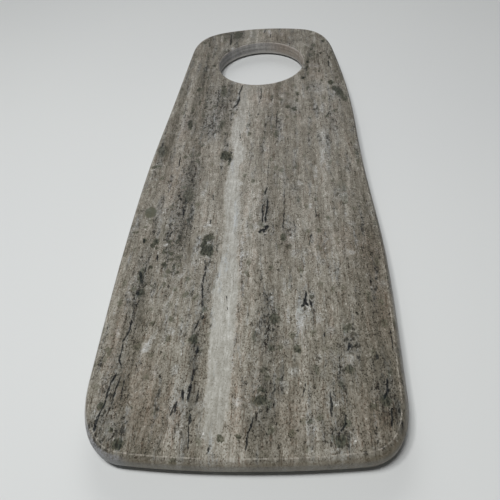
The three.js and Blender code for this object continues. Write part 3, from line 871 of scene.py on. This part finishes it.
def floor_paint():
    material, nodes, shader, place = new_material("pale_floor")
    cloud = nodes.noise(place, (0.5, 0.5, 0.5), detail=2)
    colour = nodes.ramp(cloud, [(0.3, linear_colour(*FLOOR_DARK)), (0.7, linear_colour(*FLOOR_PALE))])
    nodes.feed(shader.inputs["Base Color"], colour)
    shader.inputs["Roughness"].default_value = 0.6
    shader.inputs["Specular IOR Level"].default_value = 0.2
    return material


def take(piece):
    """Makes a piece the only one selected, and the active one."""
    bpy.ops.object.select_all(action="DESELECT")
    piece.select_set(True)
    bpy.context.view_layer.objects.active = piece


def select_faces(piece, wanted):
    """Selects the faces that wanted(face) is true for, in edit mode."""
    mesh = bmesh.from_edit_mesh(piece.data)
    bpy.ops.mesh.select_mode(type="FACE")
    for face in mesh.faces:
        face.select_set(wanted(face))
    bmesh.update_edit_mesh(piece.data)


def ease(value, low, high):
    """Goes from 0 to 1, gently at both ends, as the value goes from low to high."""
    share = min(max((value - low) / (high - low), 0.0), 1.0)
    return share * share * (3 - 2 * share)


def top_round(point):
    """How wide the slab's top edge is rounded near a point of its outline."""
    far = SIDE_ROUND + (FAR_ROUND - SIDE_ROUND) * ease(point.y, FAR_ROUND_FROM, FAR_ROUND_TO)
    to_right = ease(point.x, RIGHT_ROUND_FROM, RIGHT_ROUND_TO)
    to_left = LEFT_CORNER_SHARE * ease(-point.x, LEFT_ROUND_FROM, LEFT_ROUND_TO)
    to_corner = max(to_right, to_left)
    front = FRONT_ROUND + (CORNER_ROUND - FRONT_ROUND) * to_corner
    reach = FRONT_ROUND_FROM - FRONT_ROUND_FROM * to_right
    return far + (front - far) * ease(point.y, reach, FRONT_ROUND_TO)


def hand_hole():
    """The middle of the hand hole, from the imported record's opening."""
    low, high = frame["record"]["physics"]["openings"][0]["box_m"]
    return (Vector(low) + Vector(high)) / 2


def slab_blank(hole, low, high):
    """The slab with square edges, drawn up from the CAD stone's own section."""
    stone = frame["nodes"]["stone_slab"]
    slab = bpy.data.objects.new("marble_slab", stone.data.copy())
    bpy.context.scene.collection.objects.link(slab)
    slab.data.materials.clear()
    take(slab)
    bpy.ops.object.mode_set(mode="EDIT")
    bpy.ops.mesh.select_all(action="SELECT")
    bpy.ops.mesh.remove_doubles(threshold=0.001 * MM)
    middle = (low.z + high.z) / 2
    bpy.ops.mesh.bisect(
        plane_co=(0, 0, middle), plane_no=(0, 0, 1), use_fill=True, clear_inner=True, clear_outer=True,
    )
    bpy.ops.mesh.select_all(action="SELECT")
    bpy.ops.mesh.bisect(plane_co=hole, plane_no=(1, 0, 0))
    for side in (-1, 1):
        select_faces(slab, lambda face: (face.calc_center_median().x - hole.x) * side > 0)
        bpy.ops.mesh.dissolve_faces()
    bpy.ops.mesh.select_all(action="SELECT")
    bpy.ops.transform.translate(value=(0, 0, low.z - middle))
    bpy.ops.mesh.extrude_region_move(TRANSFORM_OT_translate={"value": (0, 0, high.z - low.z)})
    bpy.ops.mesh.select_all(action="SELECT")
    bpy.ops.mesh.normals_make_consistent(inside=False)
    bpy.ops.object.mode_set(mode="OBJECT")
    return slab


def round_edges(slab, hole, low, high):
    """Weighs the slab's rims by how far each is rounded, and bevels them."""
    take(slab)
    bpy.ops.object.mode_set(mode="EDIT")
    mesh = bmesh.from_edit_mesh(slab.data)
    weight = mesh.edges.layers.float.new("bevel_weight_edge")
    for edge in mesh.edges:
        if edge.calc_face_angle(0.0) < SHARP_ANGLE:
            continue
        point = (edge.verts[0].co + edge.verts[1].co) / 2
        on_top = point.z > (low.z + high.z) / 2
        if (point - hole).to_2d().length < HOLE_REACH:
            width = HOLE_TOP_ROUND if on_top else HOLE_BOTTOM_ROUND
        else:
            width = top_round(point) if on_top else BOTTOM_ROUND
        edge[weight] = width / CORNER_ROUND
    bmesh.update_edit_mesh(slab.data)
    bpy.ops.object.mode_set(mode="OBJECT")
    bevel = slab.modifiers.new("hand_ground_edge", "BEVEL")
    bevel.limit_method = "WEIGHT"
    bevel.width = CORNER_ROUND
    bevel.segments = ROUND_SEGMENTS
    bevel.profile = ROUND_PROFILE
    bevel.use_clamp_overlap = False
    bpy.ops.object.modifier_apply(modifier=bevel.name)


def flat_borders(slab, low, high):
    """Draws a narrow border inside each flat face, so that the rounding ends at a crisp line."""
    take(slab)
    bpy.ops.object.mode_set(mode="EDIT")
    for level, way in ((high.z, 1), (low.z, -1)):
        def flat(face):
            near_level = abs(face.calc_center_median().z - level) < FLAT_TOLERANCE
            return face.normal.z * way > FLAT_NORMAL and near_level
        select_faces(slab, flat)
        bpy.ops.mesh.inset(thickness=ARRIS_WIDTH, use_boundary=True, use_even_offset=True)
    bpy.ops.object.mode_set(mode="OBJECT")


def mark_arris(slab, high):
    """An attribute that is 1 along the line where the top face meets its rounded edge."""
    mesh = slab.data
    flat = set()
    rounded = set()
    for face in mesh.polygons:
        level_top = face.normal.z > FLAT_NORMAL and face.center.z > high.z - FLAT_TOLERANCE
        (flat if level_top else rounded).update(face.vertices)
    arris = mesh.attributes.new("arris", "FLOAT", "POINT")
    for vertex in flat & rounded:
        arris.data[vertex].value = 1.0


def finish_slab(slab, hole, high, finishes):
    """Polished outside, ground inside the hand hole, sawn underneath."""
    for finish in finishes:
        slab.data.materials.append(finish)
    for face in slab.data.polygons:
        near_hole = (face.center - hole).to_2d().length < HOLE_REACH
        if face.normal.z < -0.99:
            face.material_index = SAWN
        elif near_hole and face.center.z < high.z - GROUND_BELOW_TOP:
            face.material_index = GROUND
        else:
            face.material_index = POLISHED
    take(slab)
    bpy.ops.object.shade_smooth_by_angle(angle=SMOOTH_ANGLE)


def make_slab(finishes):
    low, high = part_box("stone_slab")
    hole = hand_hole()
    slab = slab_blank(hole, low, high)
    round_edges(slab, hole, low, high)
    flat_borders(slab, low, high)
    mark_arris(slab, high)
    finish_slab(slab, hole, high, finishes)
    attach(slab, "root")
    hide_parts("stone_slab")


def make_foot(place, rubber):
    """A moulded rubber bumper: a low dome whose tread has a raised lip."""
    node = f"bumper_foot_{place}"
    low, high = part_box(node)
    radius = (high.x - low.x) / 2
    height = high.z - low.z
    bpy.ops.object.select_all(action="DESELECT")
    bpy.ops.mesh.primitive_cylinder_add(
        vertices=FOOT_SIDES, radius=radius, depth=height, location=(low + high) / 2,
    )
    foot = bpy.context.object
    foot.name = f"rubber_bumper_{place}"
    bpy.ops.object.transform_apply(location=True, rotation=False, scale=False)
    bpy.ops.object.mode_set(mode="EDIT")
    select_faces(foot, lambda face: face.normal.z < -0.9)
    bpy.ops.mesh.bevel(offset=FOOT_DOME_SHARE * height, segments=FOOT_DOME_SEGMENTS, affect="EDGES")
    select_faces(foot, lambda face: face.normal.z > 0.9)
    bpy.ops.mesh.bevel(offset=FOOT_TOP_ROUND, segments=FOOT_TOP_SEGMENTS, affect="EDGES")
    select_faces(foot, lambda face: face.normal.z < -0.999)
    bpy.ops.mesh.inset(thickness=TREAD_LIP)
    bpy.ops.mesh.inset(thickness=TREAD_HOLLOW)
    bpy.ops.transform.translate(value=(0, 0, TREAD_HOLLOW))
    bpy.ops.object.mode_set(mode="OBJECT")
    foot.data.materials.append(rubber)
    bpy.ops.object.shade_smooth_by_angle(angle=SMOOTH_ANGLE)
    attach(foot, "root")
    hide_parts(node)


def make_floor():
    bpy.ops.object.select_all(action="DESELECT")
    bpy.ops.mesh.primitive_plane_add(size=FLOOR_SIZE, location=(0, 0, 0))
    floor = bpy.context.object
    floor.name = "studio_floor"
    floor.data.materials.append(floor_paint())


def make_panel(name, size, place, power, aim):
    """A flat light that the stone doesn't mirror."""
    light = bpy.data.lights.new(name, "AREA")
    light.shape = "RECTANGLE"
    light.size, light.size_y = size
    light.energy = power
    panel = bpy.data.objects.new(name, light)
    panel.location = place
    panel.rotation_euler = (aim - place).to_track_quat("-Z", "Y").to_euler()
    panel.visible_glossy = False
    bpy.context.scene.collection.objects.link(panel)


def make_lights():
    world = bpy.data.worlds.new("studio_sky")
    world.use_nodes = True
    sky = world.node_tree.nodes["Background"]
    sky.inputs["Color"].default_value = SKY_COLOUR
    sky.inputs["Strength"].default_value = SKY_STRENGTH
    bpy.context.scene.world = world
    make_panel("ceiling", CEILING_SIZE, CEILING_PLACE, CEILING_POWER, Vector((0, CEILING_PLACE.y, 0)))
    make_panel("lamp", LAMP_SIZE, LAMP_PLACE, LAMP_POWER, Vector((0, LAMP_PLACE.y, 0)))
    make_panel("screen", SCREEN_SIZE, SCREEN_PLACE, SCREEN_POWER, SCREEN_AIM)


def make_camera():
    lens = bpy.data.cameras.new("camera")
    lens.lens = CAMERA_LENS
    lens.clip_start = CAMERA_CLIP
    camera = bpy.data.objects.new("camera", lens)
    turn = Matrix.Rotation(CAMERA_TURN, 4, "Z")
    tilt = Matrix.Rotation(math.radians(90) - CAMERA_PITCH_DOWN, 4, "X")
    roll = Matrix.Rotation(-CAMERA_ROLL, 4, "Z")
    camera.matrix_world = Matrix.Translation(CAMERA_PLACE) @ turn @ tilt @ roll
    bpy.context.scene.collection.objects.link(camera)
    bpy.context.scene.camera = camera


make_camera()
make_lights()
make_floor()
stone = stone_group()
make_slab([polished_marble(stone, hand_hole()), ground_marble(stone), sawn_marble(stone)])
rubber = bumper_rubber()
foam = adhesive_foam()
for place in ("front_left", "front_right", "far_left", "far_right"):
    make_foot(place, rubber)
    disc = frame["nodes"][f"adhesive_disc_{place}"]
    disc.data.materials.clear()
    disc.data.materials.append(foam)
bpy.context.scene.view_settings.view_transform = "Standard"
